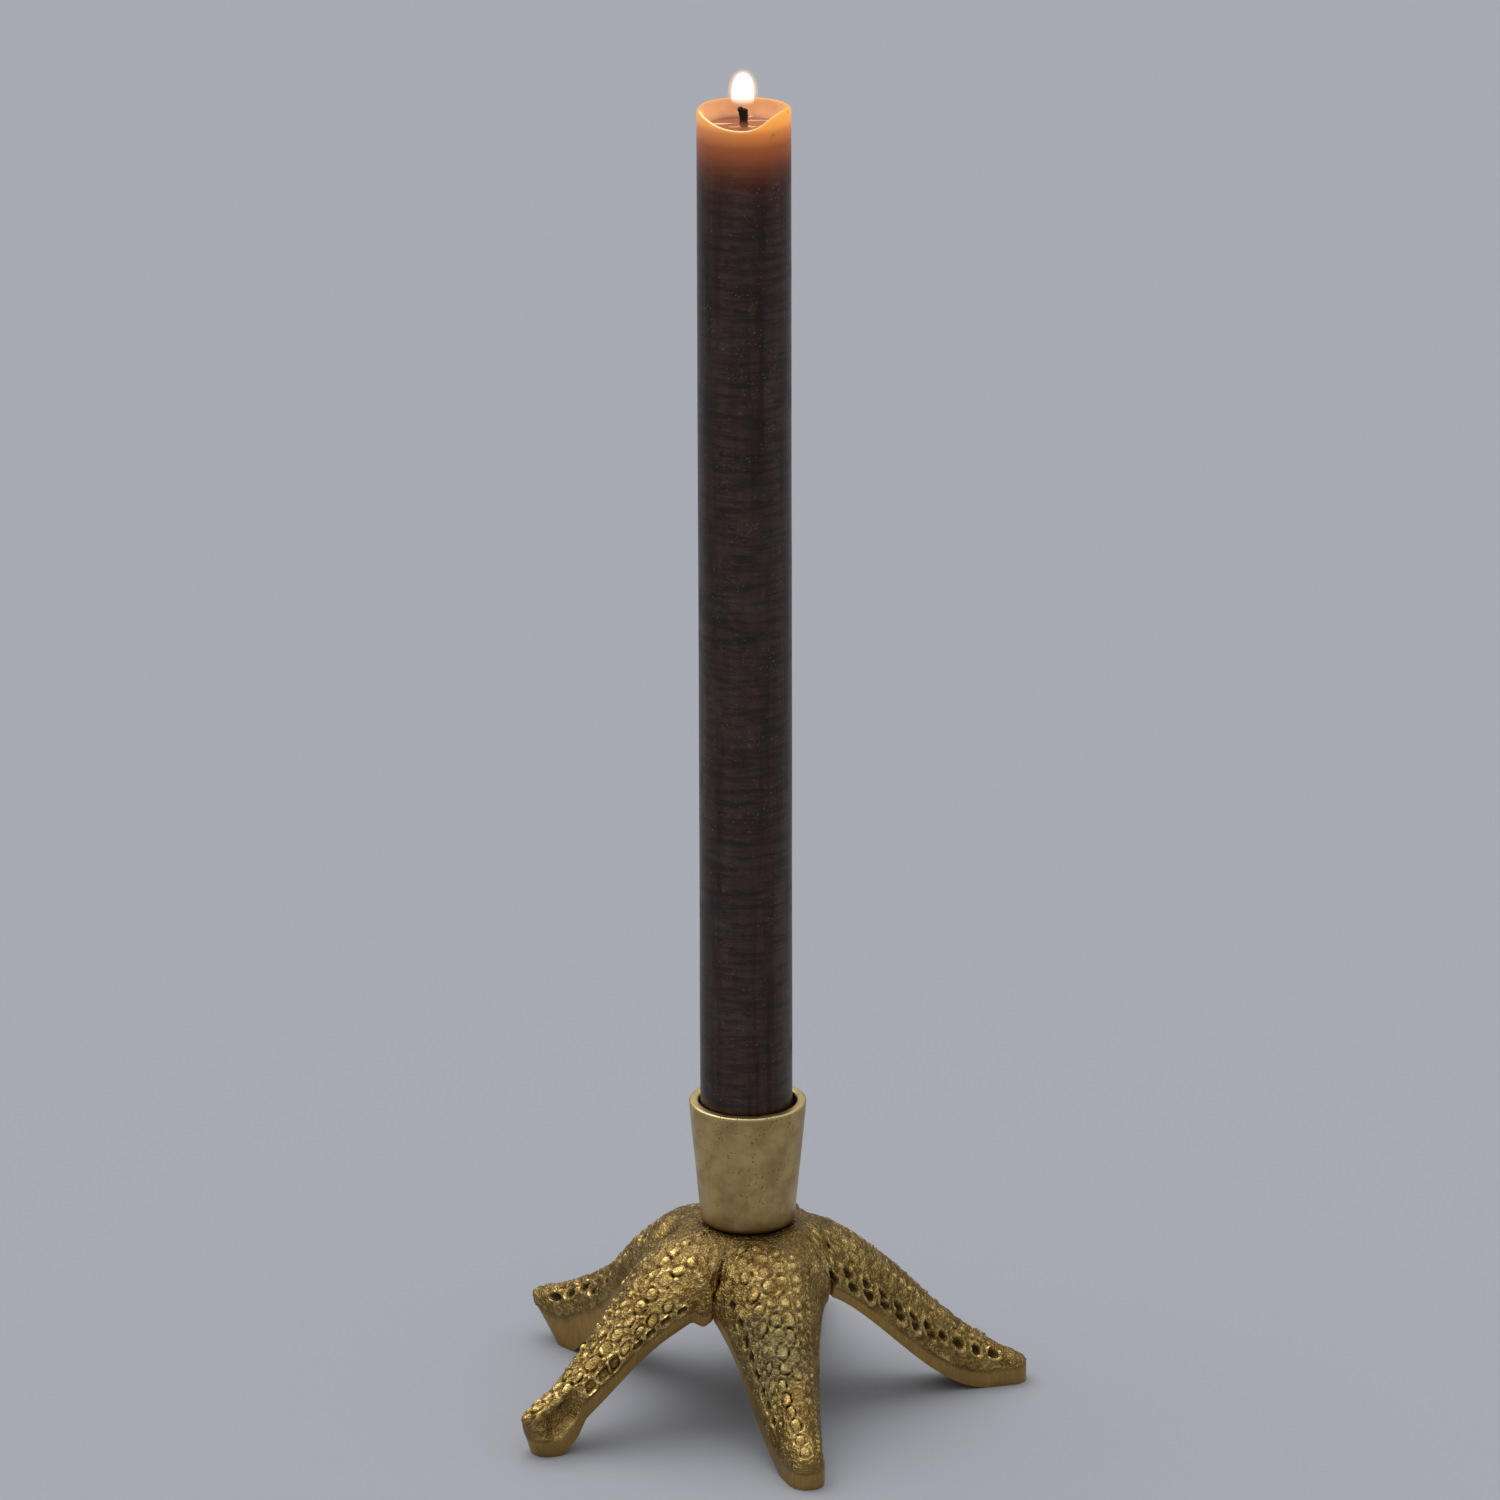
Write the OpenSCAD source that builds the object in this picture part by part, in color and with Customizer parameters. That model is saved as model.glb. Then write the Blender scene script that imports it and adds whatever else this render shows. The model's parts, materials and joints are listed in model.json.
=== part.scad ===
// Brass starfish candle holder with a tapered cup and a dinner candle.
// Millimetres, +Z up. The origin is on the floor, at the middle of the box round the five feet.

/* [Starfish] */
// Height of the flat land on the hub that the cup stands on
hub_height = 45; // [38:1:52]
// Radius of that flat land
hub_land_r = 10.5; // [9.5:0.5:12]
// Height of the back face at the hub's centre
back_height = 35.5; // [30:0.5:38]
// Distance from the axis to the tip of each arm
arm_reach = [68, 62, 57, 63.5, 61.5];
// Direction of each arm, counted from +X: right, back, back left, front left, front
arm_azimuth = [8, 76, 143, 217, 284];
// Thickness of each arm at its tip
tip_thickness = [5.5, 8, 11, 10.5, 7.5];
// How much higher the back of each arm arches than a plain slope
arm_arch = [0, 1.5, 2.5, 9.5, 1];
// Half width of an arm where it leaves its neighbours
root_half_w = 14; // [12:0.5:15]
// Distance over which an arm narrows to about a third
taper_length = 38; // [30:1:50]
// How far the top of each arm's end leans out past its sole
tip_lean = [0, 1.5, 8.5, 3.5, 0.5];
// Height of the smooth ground side band at the hub
band_at_hub = 2.5; // [1.5:0.5:4]
// Height of the smooth ground side band at the tip
band_at_tip = 4.5; // [3:0.5:5]

/* [Cup] */
// Height of the cup
cup_height = 31; // [26:1:40]
// Outer diameter of the rim
rim_d = 28.1; // [27:0.1:32]
// Outer diameter at the lower edge, before its rounding
cup_base_d = 22.6; // [21:0.1:26]
// Radius of the rounded lower edge
cup_edge_r = 1.6; // [0.8:0.1:2.2]
// Wall thickness at the rim
cup_wall = 2.35; // [1.8:0.05:2.6]
// Depth of the candle's socket
socket_depth = 24; // [18:1:24]

/* [Fixing] */
// Thread diameter of the screw from below
screw_d = 5; // [4:0.5:6]
// Diameter of the screw's head
head_d = 8.5; // [8:0.5:10]
// Height of the screw's head
head_h = 3.3; // [2.5:0.1:4]
// Outer diameter of the washer
washer_d = 11; // [10:0.5:13]
// Thickness of the washer
washer_t = 1; // [0.8:0.1:1.6]

/* [Candle] */
// Diameter of the candle
candle_d = 22; // [21:0.5:22.5]
// Height of the candle's top above the cup's rim
candle_rise = 244.5; // [120:0.5:260]
// Depth of the melted hollow in the top
melt_depth = 4.2; // [2:0.1:7]
// Thickness of the wax left round the hollow
melt_wall = 1.2; // [1:0.1:3]
// Depth of the dip in the front of the melted rim
melt_dip = 2.6; // [0:0.1:4]
// Diameter of the wick
wick_d = 1.9; // [1.2:0.1:2.4]

/* [Hidden] */
$fn = 96;

brass = [0.55, 0.43, 0.22];
old_brass = [0.47, 0.40, 0.25];
steel = [0.62, 0.62, 0.60];
wax = [0.16, 0.12, 0.11];
soot = [0.07, 0.05, 0.05];

running_gap = 0.05;
seat_gap = 0.02;
cut = 1;

// The arms share their first stations, so that neighbours meet edge to edge in the valleys
ARMS = len(arm_reach);
ACROSS = 10;
HUB_STATIONS = 9;
ARM_STATIONS = 16;
STATIONS = HUB_STATIONS + ARM_STATIONS;
hub_ring_r = 7;
hub_outer_r = 22;
long_arm = 68;
sole_start = 59;
crest_fall = 63;
crest_start = 10;
width_start = 19.3;
tip_round = 4.5;
tip_drop = 1.5;
lean_start = 44;

// Cup, socket and fixing heights
rim_z = hub_height + cup_height;
socket_z = rim_z - socket_depth;
cup_slope = (rim_d - cup_base_d) / 2 / (cup_height - cup_edge_r);
socket_foot_r = rim_d / 2 - cup_wall - cup_slope * socket_depth;
rim_round = 0.5;
hub_floor = 6;
pocket_r = 8;
pocket_z = hub_height - hub_floor;
hole_r = screw_d / 2 + 0.25;
tap_depth = 5;
screw_top = hub_height + tap_depth - 0.5;
head_z = pocket_z - washer_t - head_h;
slot_w = 1.2;
slot_depth = 1.4;

// Candle and wick heights
candle_r = candle_d / 2;
candle_top = rim_z + candle_rise;
candle_foot_z = socket_z + seat_gap;
candle_foot_r = socket_foot_r - 0.35;
foot_taper_z = rim_z - 4.5;
pool_z = candle_top - melt_depth;
dip_r = 9;
dip_x = -3;
lip_round = 0.5;
tip_lean_angle = 6;
soot_length = 4.6;

function cosine_fall(t) = (1 + cos(180 * min(1, max(0, t)))) / 2;
function ease(t) = 1 - cosine_fall(t);
function mix(a, b, t) = a + (b - a) * t;

// Direction of arm k, counted on past a full turn, and half the angle to the next arm
function arm_az(k) = arm_azimuth[k % ARMS] + 360 * floor(k / ARMS);
function half_gap(k) = (arm_az(k + 1) - arm_az(k)) / 2;
function side_gap(k, u) = u < 0 ? half_gap(k + ARMS - 1) : half_gap(k);

// Distance of station j from the axis, measured along arm k
function station(k, j) =
    j < HUB_STATIONS ? mix(hub_ring_r, hub_outer_r, j / (HUB_STATIONS - 1))
    : let (t = (j - HUB_STATIONS + 1) / ARM_STATIONS)
      mix(hub_outer_r, arm_reach[k % ARMS], 1 - pow(1 - t, 1.2));
// The same distance as if every arm were as long as the longest one
function even_r(k, r) =
    r < hub_outer_r ? r
    : mix(hub_outer_r, long_arm, (r - hub_outer_r) / (arm_reach[k % ARMS] - hub_outer_r));

// Plan rounding of the tip: 1 along the arm, falling in the last few millimetres
function tip_shape(k, r) =
    let (t = max(0, r - arm_reach[k % ARMS] + tip_round) / tip_round)
    sqrt(max(0.15, 1 - t * t));
function half_width(k, r) =
    root_half_w * exp(-(even_r(k, r) - width_start) / taper_length) * tip_shape(k, r);
function side_width(k, r, u) = min(half_width(k, r), r * tan(side_gap(k, u)));
function in_valley(k, j, u) =
    let (r = station(k, j))
    j < HUB_STATIONS && r * tan(side_gap(k, u)) < half_width(k, r);

// Heights of the crest, the flat back, the side band and the shoulder above it
function crest_z(k, r) =
    mix(tip_thickness[k % ARMS], hub_height, cosine_fall((even_r(k, r) - crest_start) / crest_fall))
    - tip_drop * (1 - tip_shape(k, r));
function back_z(k, r) =
    let (e = even_r(k, r))
    back_height * cosine_fall(pow(e / sole_start, 1.15))
    + arm_arch[k % ARMS] * ease((e - hub_outer_r) / 9) * cosine_fall((e - sole_start + 6) / 6);
function band_z(k, r) =
    back_z(k, r) + mix(band_at_hub, band_at_tip, ease(even_r(k, r) / long_arm));
function shoulder_z(k, r) = mix(hub_height, band_z(k, r), ease((r - hub_land_r) / 9));
function dome(u) = pow(1 - pow(abs(u), 2.6), 0.62);

// Points of the top and of the back at station j and column i of arm k
function column(i) = 2 * i / ACROSS - 1;
function plan_point(k, r, u) =
    let (az = arm_az(k), w = u * side_width(k, r, u))
    [r * cos(az) - w * sin(az), r * sin(az) + w * cos(az)];
function top_point(k, j, i) =
    let (
        r = station(k, j),
        u = column(i),
        low = back_z(k, r),
        crest = crest_z(k, r),
        z = mix(shoulder_z(k, r), crest, dome(u)),
        lean = tip_lean[k % ARMS] * ease((even_r(k, r) - lean_start) / (long_arm - lean_start)),
        flat = plan_point(k, r, u),
        out = lean * (z - low) / (crest - low)
    )
    [flat[0] + out * cos(arm_az(k)), flat[1] + out * sin(arm_az(k)), z];
function back_point(k, j, i) =
    let (r = station(k, j), flat = plan_point(k, r, column(i)))
    [flat[0], flat[1], back_z(k, r)];

// Number of a point, where a valley point belongs to the arm after it
COLUMNS = ACROSS + 1;
LAYER = ARMS * STATIONS * COLUMNS;
function number(k, j, i) =
    i == ACROSS && in_valley(k, j, 1) ? number((k + 1) % ARMS, j, 0)
    : ((k % ARMS) * STATIONS + j) * COLUMNS + i;

starfish_points = concat(
    [for (k = [0:ARMS - 1], j = [0:STATIONS - 1], i = [0:ACROSS]) top_point(k, j, i)],
    [for (k = [0:ARMS - 1], j = [0:STATIONS - 1], i = [0:ACROSS]) back_point(k, j, i)],
    [[0, 0, hub_height], [0, 0, back_height]]
);

// The cup's axis is off the origin, because the arms reach further to the right than to the left
function middle(axis) =
    let (values = [for (p = starfish_points) p[axis]])
    (min(values) + max(values)) / 2;
axis_at = [-middle(0), -middle(1), 0];
module on_axis() {
    translate(axis_at) children();
}

function skin(layer, flip) = [
    for (k = [0:ARMS - 1], j = [0:STATIONS - 2], i = [0:ACROSS - 1])
        let (
            a = layer + number(k, j, i),
            b = layer + number(k, j + 1, i),
            c = layer + number(k, j + 1, i + 1),
            d = layer + number(k, j, i + 1)
        )
        each flip ? [[a, b, c], [a, c, d]] : [[a, c, b], [a, d, c]]
];
function hub_fan(layer, middle, flip) = [
    for (k = [0:ARMS - 1], i = [0:ACROSS - 1])
        let (a = layer + number(k, 0, i), b = layer + number(k, 0, i + 1))
        flip ? [middle, a, b] : [middle, b, a]
];
function wall(a, b) = [[a, b, b + LAYER], [a, b + LAYER, a + LAYER]];
side_walls = [
    for (k = [0:ARMS - 1], j = [0:STATIONS - 2])
        each concat(
            in_valley(k, j + 1, -1) ? [] : wall(number(k, j, 0), number(k, j + 1, 0)),
            in_valley(k, j + 1, 1) ? [] : wall(number(k, j + 1, ACROSS), number(k, j, ACROSS))
        )
];
tip_walls = [
    for (k = [0:ARMS - 1], i = [0:ACROSS - 1])
        each wall(number(k, STATIONS - 1, i), number(k, STATIONS - 1, i + 1))
];

// One casting: arms and hub, with the screw's hole and a flat pocket for its washer
module starfish_base() {
    color(brass) on_axis() difference() {
        polyhedron(
            starfish_points,
            concat(
                skin(0, false),
                skin(LAYER, true),
                hub_fan(0, 2 * LAYER, false),
                hub_fan(LAYER, 2 * LAYER + 1, true),
                side_walls,
                tip_walls
            ),
            convexity = 8
        );
        translate([0, 0, back_height - 20]) cylinder(h = 40, r = hole_r);
        translate([0, 0, back_height - 20]) cylinder(h = pocket_z - back_height + 20, r = pocket_r);
    }
}

// Tapered cup with a tapered socket and a tapped hole in its base
module candle_cup() {
    edge_z = hub_height + cup_edge_r;
    color(old_brass) on_axis() difference() {
        rotate_extrude() polygon(concat(
            [[0, hub_height]],
            [for (a = [-90:15:0])
                [cup_base_d / 2 - cup_edge_r + cup_edge_r * cos(a), edge_z + cup_edge_r * sin(a)]],
            [for (a = [0:30:90])
                [rim_d / 2 - rim_round + rim_round * cos(a), rim_z - rim_round + rim_round * sin(a)]],
            [[rim_d / 2 - cup_wall + 0.3, rim_z]],
            [[rim_d / 2 - cup_wall, rim_z - 0.3]],
            [[socket_foot_r, socket_z]],
            [[0, socket_z]]
        ));
        translate([0, 0, hub_height - cut]) cylinder(h = tap_depth + cut, r = screw_d / 2 + running_gap);
    }
}

// Cheese-head machine screw, head down, slotted from below
module fixing_screw() {
    color(steel) on_axis() difference() {
        union() {
            translate([0, 0, head_z]) cylinder(h = head_h, d = head_d);
            translate([0, 0, head_z]) cylinder(h = screw_top - head_z, d = screw_d);
        }
        translate([-head_d, -slot_w / 2, head_z - cut]) cube([2 * head_d, slot_w, slot_depth + cut]);
    }
}

module screw_washer() {
    color(steel) on_axis() translate([0, 0, pocket_z - washer_t]) difference() {
        cylinder(h = washer_t, d = washer_d);
        translate([0, 0, -cut]) cylinder(h = washer_t + 2 * cut, r = hole_r);
    }
}

// Wax body: tapered foot, straight side, melted hollow with a low place in its front lip
module candle() {
    hollow_r = candle_r - melt_wall;
    color(wax) on_axis() difference() {
        rotate_extrude() polygon(concat(
            [[wick_d / 2 + seat_gap, candle_foot_z], [candle_foot_r, candle_foot_z]],
            [[candle_r, foot_taper_z]],
            [for (a = [0:30:90])
                [candle_r - lip_round + lip_round * cos(a), candle_top - lip_round + lip_round * sin(a)]],
            [for (a = [0:15:90])
                [hollow_r - melt_wall * sin(a) / 2, pool_z + melt_depth * (1 - sin(a))]],
            [[wick_d / 2 + seat_gap, pool_z]]
        ));
        translate([dip_x, 0, candle_top + dip_r - melt_dip]) rotate([90, 0, 0]) cylinder(h = candle_d, r = dip_r);
    }
}

// Cotton cord through the whole candle, with a charred end that leans a little
module wick() {
    color(soot) on_axis() union() {
        translate([0, 0, candle_foot_z]) cylinder(h = pool_z + 1 - candle_foot_z, d = wick_d, $fn = 32);
        translate([0, 0, pool_z + 0.6]) rotate([0, -tip_lean_angle, 0]) {
            cylinder(h = soot_length - 1.6, d = wick_d + 0.2, $fn = 32);
            translate([0, 0, soot_length - 1.6]) sphere(d = wick_d + 0.2, $fn = 32);
        }
    }
}

starfish_base();
candle_cup();
fixing_screw();
screw_washer();
candle();
wick();
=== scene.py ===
# Brass starfish candle holder with a cup and a lit dinner candle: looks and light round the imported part.
import json
import math

import bpy
import numpy as np
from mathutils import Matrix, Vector, noise

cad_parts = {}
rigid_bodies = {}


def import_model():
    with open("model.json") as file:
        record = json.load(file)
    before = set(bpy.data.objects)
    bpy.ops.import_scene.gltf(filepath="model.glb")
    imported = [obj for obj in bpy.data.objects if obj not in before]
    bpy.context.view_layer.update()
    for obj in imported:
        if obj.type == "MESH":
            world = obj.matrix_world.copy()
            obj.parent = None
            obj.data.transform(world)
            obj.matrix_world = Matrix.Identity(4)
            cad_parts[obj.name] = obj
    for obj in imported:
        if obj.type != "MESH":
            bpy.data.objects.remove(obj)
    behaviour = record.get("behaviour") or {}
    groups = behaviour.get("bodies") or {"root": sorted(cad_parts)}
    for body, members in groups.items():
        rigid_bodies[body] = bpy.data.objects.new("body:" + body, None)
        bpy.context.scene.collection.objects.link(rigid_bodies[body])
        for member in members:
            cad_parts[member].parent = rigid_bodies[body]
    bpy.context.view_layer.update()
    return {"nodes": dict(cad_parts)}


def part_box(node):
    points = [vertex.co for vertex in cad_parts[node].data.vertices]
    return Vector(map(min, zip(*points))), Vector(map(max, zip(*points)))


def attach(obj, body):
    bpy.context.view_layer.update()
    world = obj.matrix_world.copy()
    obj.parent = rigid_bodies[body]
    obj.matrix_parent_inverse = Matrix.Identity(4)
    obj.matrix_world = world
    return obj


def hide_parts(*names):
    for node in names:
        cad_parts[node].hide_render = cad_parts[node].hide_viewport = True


for spare in list(bpy.data.objects):
    bpy.data.objects.remove(spare)

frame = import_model()

MM = 0.001
cup_low, cup_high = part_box("candle_cup")
AXIS = (cup_low + cup_high) / 2
HUB_Z = cup_low.z / MM
RIM_Z = cup_high.z / MM


# Small helpers for modelling
def deselect():
    if bpy.context.object and bpy.context.object.mode != "OBJECT":
        bpy.ops.object.mode_set(mode="OBJECT")
    bpy.ops.object.select_all(action="DESELECT")


def choose(obj):
    deselect()
    obj.select_set(True)
    bpy.context.view_layer.objects.active = obj


def named(name):
    obj = bpy.context.object
    obj.name = name
    obj.data.name = name
    return obj


def grid(name, rows, columns):
    """A flat grid with rows + 1 by columns + 1 points, ready to be wrapped round a form."""
    deselect()
    bpy.ops.mesh.primitive_grid_add(x_subdivisions=columns, y_subdivisions=rows, size=0.02)
    return named(name)


def place(obj, points):
    """Moves the mesh points to these places, in millimetres about the cup's axis."""
    metres = np.asarray(points, float).reshape(-1, 3) * MM
    metres[:, 0] += AXIS.x
    metres[:, 1] += AXIS.y
    obj.data.vertices.foreach_set("co", metres.astype(np.float32).ravel())
    obj.data.update()


def places(obj):
    """The mesh points in millimetres about the cup's axis."""
    values = np.zeros(len(obj.data.vertices) * 3, np.float32)
    obj.data.vertices.foreach_get("co", values)
    points = values.reshape(-1, 3).astype(float)
    points[:, 0] -= AXIS.x
    points[:, 1] -= AXIS.y
    return points / MM


def normals(obj):
    values = np.zeros(len(obj.data.vertices) * 3, np.float32)
    obj.data.vertex_normals.foreach_get("vector", values)
    return values.reshape(-1, 3).astype(float)


def mark(obj, name, values):
    layer = obj.data.attributes.get(name) or obj.data.attributes.new(name, "FLOAT", "POINT")
    layer.data.foreach_set("value", np.asarray(values, np.float32).ravel())


def marked(obj, name):
    values = np.zeros(len(obj.data.vertices), np.float32)
    obj.data.attributes[name].data.foreach_get("value", values)
    return values.astype(float)


def join(parts, name):
    deselect()
    for part in parts:
        part.select_set(True)
    bpy.context.view_layer.objects.active = parts[0]
    bpy.ops.object.join()
    return named(name)


def edit_all(obj, select="SELECT"):
    choose(obj)
    bpy.ops.object.mode_set(mode="EDIT")
    bpy.ops.mesh.select_all(action=select)


def leave_edit():
    bpy.ops.object.mode_set(mode="OBJECT")


def smooth(obj, degrees):
    choose(obj)
    bpy.ops.object.shade_smooth_by_angle(angle=math.radians(degrees))


# Form of the starfish, in millimetres, the same curves as the CAD source
REACH = (68, 62, 57, 63.5, 61.5)
AZIMUTH = (8, 76, 143, 217, 284)
TIP_THICKNESS = (5.5, 8, 11, 10.5, 7.5)
ARCH = (0, 1.5, 2.5, 9.5, 1)
LEAN = (0, 1.5, 8.5, 3.5, 0.5)
BAND_AT_TIP = (4.5, 4.5, 8.5, 4.5, 4.5)
RIGHT, BACK, BACK_LEFT, FRONT_LEFT, FRONT = range(5)
HUB_R = 22.0
HUB_BACK_Z = 35.5
LONGEST = 68
NOSE = 4.5


def fall(t):
    return (1 + np.cos(np.pi * np.clip(t, 0, 1))) / 2


def ease(t):
    return 1 - fall(t)


def step(low, high, value):
    t = np.clip((value - low) / (high - low), 0, 1)
    return t * t * (3 - 2 * t)


def bell(q, middle, width):
    return np.exp(-((q - middle) / width) ** 2)


def mix(a, b, t):
    return a + (b - a) * t


def azimuth(k):
    return AZIMUTH[k % 5] + 360 * (k // 5)


def side_gap(k, side):
    other = azimuth(k + 1) - azimuth(k) if side > 0 else azimuth(k + 5) - azimuth(k + 4)
    return math.radians(other / 2)


def even(k, r):
    """The distance on the longest arm that matches distance r on this one."""
    return np.where(r < HUB_R, r, HUB_R + (r - HUB_R) * (LONGEST - HUB_R) / (REACH[k] - HUB_R))


def nose(k, r):
    t = np.clip((r - REACH[k] + NOSE) / NOSE, 0, 1)
    return (1 - t ** 2.4) ** (1 / 2.4)


def half_width(k, r):
    """Half the arm's width, with the small web that fills the corner between two arms."""
    plain = 14 * np.exp(-(even(k, r) - 19.3) / 38) * nose(k, r)
    return plain + 1.2 * np.exp(-np.abs(r - 18.5) / 1.6) * (r > 18.5) * (r < 30)


def side_width(k, r, side):
    return np.minimum(half_width(k, r), r * math.tan(side_gap(k, side)))


def crest_z(k, r):
    base = mix(TIP_THICKNESS[k], HUB_Z, fall((even(k, r) - 10) / 63))
    return base - 1.5 * (1 - nose(k, r))


def back_z(k, r):
    e = even(k, r)
    z = HUB_BACK_Z * fall((e / 59) ** 1.15) + ARCH[k] * ease((e - HUB_R) / 9) * fall((e - 53) / 6)
    if k == FRONT_LEFT:
        seen = np.interp(r, (22, 25.4, 32.5, 37.6, 42.7, 47.5, 52.0, 54.2, 57.9, 61),
                         (30.4, 28.4, 24.2, 20.6, 16.0, 11.8, 8.2, 4.0, 0.3, 0))
        z = mix(z, seen, ease((r - HUB_R) / 5))
    return z


def band_z(k, r):
    low = back_z(k, r)
    return np.minimum(low + mix(2.5, BAND_AT_TIP[k], ease(even(k, r) / LONGEST)), crest_z(k, r) - 0.8)


def shoulder_z(k, r):
    return mix(HUB_Z, band_z(k, r), ease((r - 10.5) / 9))


def dome(u):
    return np.power(np.clip(1 - np.abs(u) ** 2.6, 0, 1), 0.62)


# The arms, each a grid wrapped round its section
TOP_COLUMNS = (64, 48, 56, 72, 72)
BAND_COLUMNS = 5
UNDER_COLUMNS = 8
HUB_ROWS = 32
ARM_ROWS = 158
TIP_ROWS = 19
LAND_R = 8.6
HOLE_R = 2.75
POCKET_R = 8.0
POCKET_Z = HUB_Z - 6
FOOT_DRAFT = 0.985


def path_length(a, b):
    """Length along the points (a, b), from the first to each."""
    return np.concatenate([[0], np.cumsum(np.hypot(np.diff(a), np.diff(b)))])


def arm_rows(k):
    """Distances of the sections from the axis: shared ones on the hub, then even steps down the arm."""
    hub = np.linspace(LAND_R, HUB_R, HUB_ROWS)
    dense = np.linspace(HUB_R, REACH[k] - NOSE, 600)
    run = path_length(dense, crest_z(k, dense))
    down_arm = np.interp(np.linspace(0, run[-1], ARM_ROWS), run, dense)
    tip = REACH[k] - NOSE + NOSE * np.sin(np.linspace(0, np.pi / 2, TIP_ROWS))
    return np.concatenate([hub, down_arm[1:], tip[1:]])


def half_top(k, r, side, shoulder, crest):
    """Even steps from the crest down to one shoulder: across, height and run from the crest."""
    u = np.linspace(0, 1, 300) ** 0.7
    w = u * float(side_width(k, r, side))
    z = mix(shoulder, crest, dome(u))
    run = path_length(w, z)
    even_run = np.linspace(0, run[-1], TOP_COLUMNS[k] // 2 + 1)
    return np.interp(even_run, run, w) * side, np.interp(even_run, run, z), even_run * side


def section(k, r):
    """One closed section: across, height and run from the crest of each point, then its lowest and crest."""
    low, shoulder, crest = float(back_z(k, r)), float(shoulder_z(k, r)), float(crest_z(k, r))
    halves = zip(half_top(k, r, 1, shoulder, crest), half_top(k, r, -1, shoulder, crest))
    top_w, top_z, top_x = (np.concatenate([one[::-1], other[1:]]) for one, other in halves)
    first, last = top_w[0], top_w[-1]
    down = np.linspace(0, 1, BAND_COLUMNS + 1)[1:]
    up = down[::-1][1:]
    band_w = mix(last, last * FOOT_DRAFT, down ** 4)
    under_w = np.linspace(last * FOOT_DRAFT, first * FOOT_DRAFT, UNDER_COLUMNS + 1)[1:]
    back_w = mix(first, first * FOOT_DRAFT, up ** 4)
    w = np.concatenate([top_w, band_w, under_w, back_w, [first]])
    under_z = np.full(UNDER_COLUMNS, low)
    z = np.concatenate([top_z, mix(shoulder, low, down), under_z, mix(shoulder, low, up), [shoulder]])
    band_x = np.full(BAND_COLUMNS, top_x[-1])
    back_x = np.full(BAND_COLUMNS, top_x[0])
    x = np.concatenate([top_x, band_x, np.zeros(UNDER_COLUMNS), back_x])
    return w, z, x, low, crest


def land_rings(k, w, on_top):
    """The rings inside the first section: screw hole, washer's pocket and flat land."""
    turn = math.radians(azimuth(k)) + np.arctan2(w, LAND_R)
    rings = []
    steps = ((HOLE_R, HOLE_R, POCKET_Z), (5.5, POCKET_R, POCKET_Z), (7.6, POCKET_R, HUB_BACK_Z))
    for top_r, low_r, low_z in steps:
        radius = np.where(on_top, top_r, low_r)
        height = np.where(on_top, HUB_Z, low_z)
        rings.append(np.stack([radius * np.cos(turn), radius * np.sin(turn), height], 1))
    return rings


def inner_walls(k, rows, columns):
    """For each face of an arm's grid, whether it would be a wall inside the metal, between two arms."""
    top = TOP_COLUMNS[k]
    face_rows = np.concatenate([[0, 0], rows])
    wall = np.zeros((len(face_rows), columns), bool)
    for side, band in ((-1, slice(top, top + BAND_COLUMNS)), (1, slice(columns - BAND_COLUMNS, columns))):
        meets = face_rows * math.tan(side_gap(k, side)) <= half_width(k, face_rows)
        wall[:, band] = meets[:, None]
    return wall.ravel()


def arm(k):
    rows = arm_rows(k)
    columns = TOP_COLUMNS[k] + 2 * BAND_COLUMNS + UNDER_COLUMNS
    on_top = np.arange(columns + 1) <= TOP_COLUMNS[k]
    on_top[-1] = True
    az = math.radians(azimuth(k))
    w, _, x, _, _ = section(k, rows[0])
    points = land_rings(k, w, on_top)
    across = [x, x, x]
    along = [2.75, 5.5, 7.6]
    crest_run = rows[0]
    before = None
    for r in rows:
        w, z, x, low, crest = section(k, r)
        lean = LEAN[k] * float(ease((even(k, r) - 44) / 24))
        out = r + lean * (z - low) / (crest - low)
        if before:
            crest_run += math.hypot(r - before[0], crest - before[1])
        before = (r, crest)
        ring = [out * math.cos(az) - w * math.sin(az), out * math.sin(az) + w * math.cos(az), z]
        points.append(np.stack(ring, 1))
        along.append(crest_run)
        across.append(x)
    obj = grid(f"arm_{k}", len(points) - 1, columns)
    place(obj, points)
    across = np.array(across)
    shape = across.shape
    mark(obj, "arm", np.full(shape, k))
    mark(obj, "along", np.broadcast_to(np.array(along)[:, None], shape))
    mark(obj, "across", across)
    mark(obj, "half", np.broadcast_to(np.maximum(np.abs(across).max(1), 0.01)[:, None], shape))
    mark(obj, "below", np.broadcast_to(~on_top, shape))
    edit_all(obj, "DESELECT")
    leave_edit()
    obj.data.polygons.foreach_set("select", inner_walls(k, rows, columns))
    bpy.ops.object.mode_set(mode="EDIT")
    bpy.ops.mesh.select_mode(type="FACE")
    bpy.ops.mesh.delete(type="FACE")
    leave_edit()
    return obj


def starfish():
    body = join([arm(k) for k in range(5)], "starfish_casting")
    edit_all(body)
    bpy.ops.mesh.remove_doubles(threshold=0.01 * MM)
    bpy.ops.mesh.select_mode(type="EDGE")
    bpy.ops.mesh.select_all(action="DESELECT")
    bpy.ops.mesh.select_non_manifold()
    bpy.ops.mesh.bridge_edge_loops()
    leave_edit()
    return body


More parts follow.
